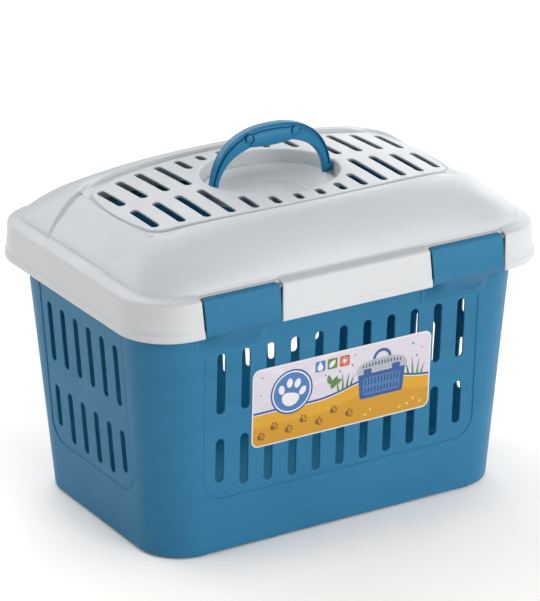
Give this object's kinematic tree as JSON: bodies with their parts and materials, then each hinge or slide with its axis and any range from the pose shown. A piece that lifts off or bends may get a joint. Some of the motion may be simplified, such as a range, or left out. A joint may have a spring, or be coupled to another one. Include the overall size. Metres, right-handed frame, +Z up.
{
  "type": "small animal carrier",
  "caption": "Slotted plastic tub with a domed slotted lid, a folding carry handle in a dish, spring clips on both long sides and a plain front label.",
  "frame": {"origin": "on the floor, under the middle of the tub", "axes": "+Z up, +X along the long front, -Y towards the labelled front"},
  "size_m": [0.4, 0.2852, 0.3283],
  "materials": {
    "blue_plastic": "satin injection-moulded polypropylene, mid blue",
    "grey_plastic": "satin injection-moulded polypropylene, very light cool grey",
    "label": "coated paper sticker, pale lavender over amber"
  },
  "bodies": {
    "tub": {"tub": "blue_plastic", "front_label": "label"},
    "lid": {"lid": "grey_plastic"},
    "handle": {"carry_handle": "blue_plastic"},
    "clip_front_left": {"front_clip_left": "blue_plastic"},
    "clip_front_right": {"front_clip_right": "blue_plastic"},
    "clip_rear_left": {"rear_clip_left": "blue_plastic"},
    "clip_rear_right": {"rear_clip_right": "blue_plastic"}
  },
  "joints": [
    {"name": "lid_lift", "type": "slide", "parent": "tub", "child": "lid", "axis": [0, 0, 1], "range_m": [0, 0.3]},
    {"name": "handle_fold", "type": "hinge", "parent": "lid", "child": "handle", "pos_m": [0, 0, 0.279], "axis": [1, 0, 0], "range_deg": [-90, 90]},
    {"name": "front_clip_left_flex", "type": "hinge", "parent": "tub", "child": "clip_front_left", "pos_m": [-0.1098, -0.1246, 0.1956], "axis": [1, 0, 0], "range_deg": [0, 12], "stiffness_Nm_per_rad": 0.6},
    {"name": "front_clip_right_flex", "type": "hinge", "parent": "tub", "child": "clip_front_right", "pos_m": [0.1098, -0.1246, 0.1956], "axis": [1, 0, 0], "range_deg": [0, 12], "stiffness_Nm_per_rad": 0.6},
    {"name": "rear_clip_left_flex", "type": "hinge", "parent": "tub", "child": "clip_rear_left", "pos_m": [-0.1098, 0.1246, 0.1956], "axis": [-1, 0, 0], "range_deg": [0, 12], "stiffness_Nm_per_rad": 0.6},
    {"name": "rear_clip_right_flex", "type": "hinge", "parent": "tub", "child": "clip_rear_right", "pos_m": [0.1098, 0.1246, 0.1956], "axis": [-1, 0, 0], "range_deg": [0, 12], "stiffness_Nm_per_rad": 0.6}
  ]
}
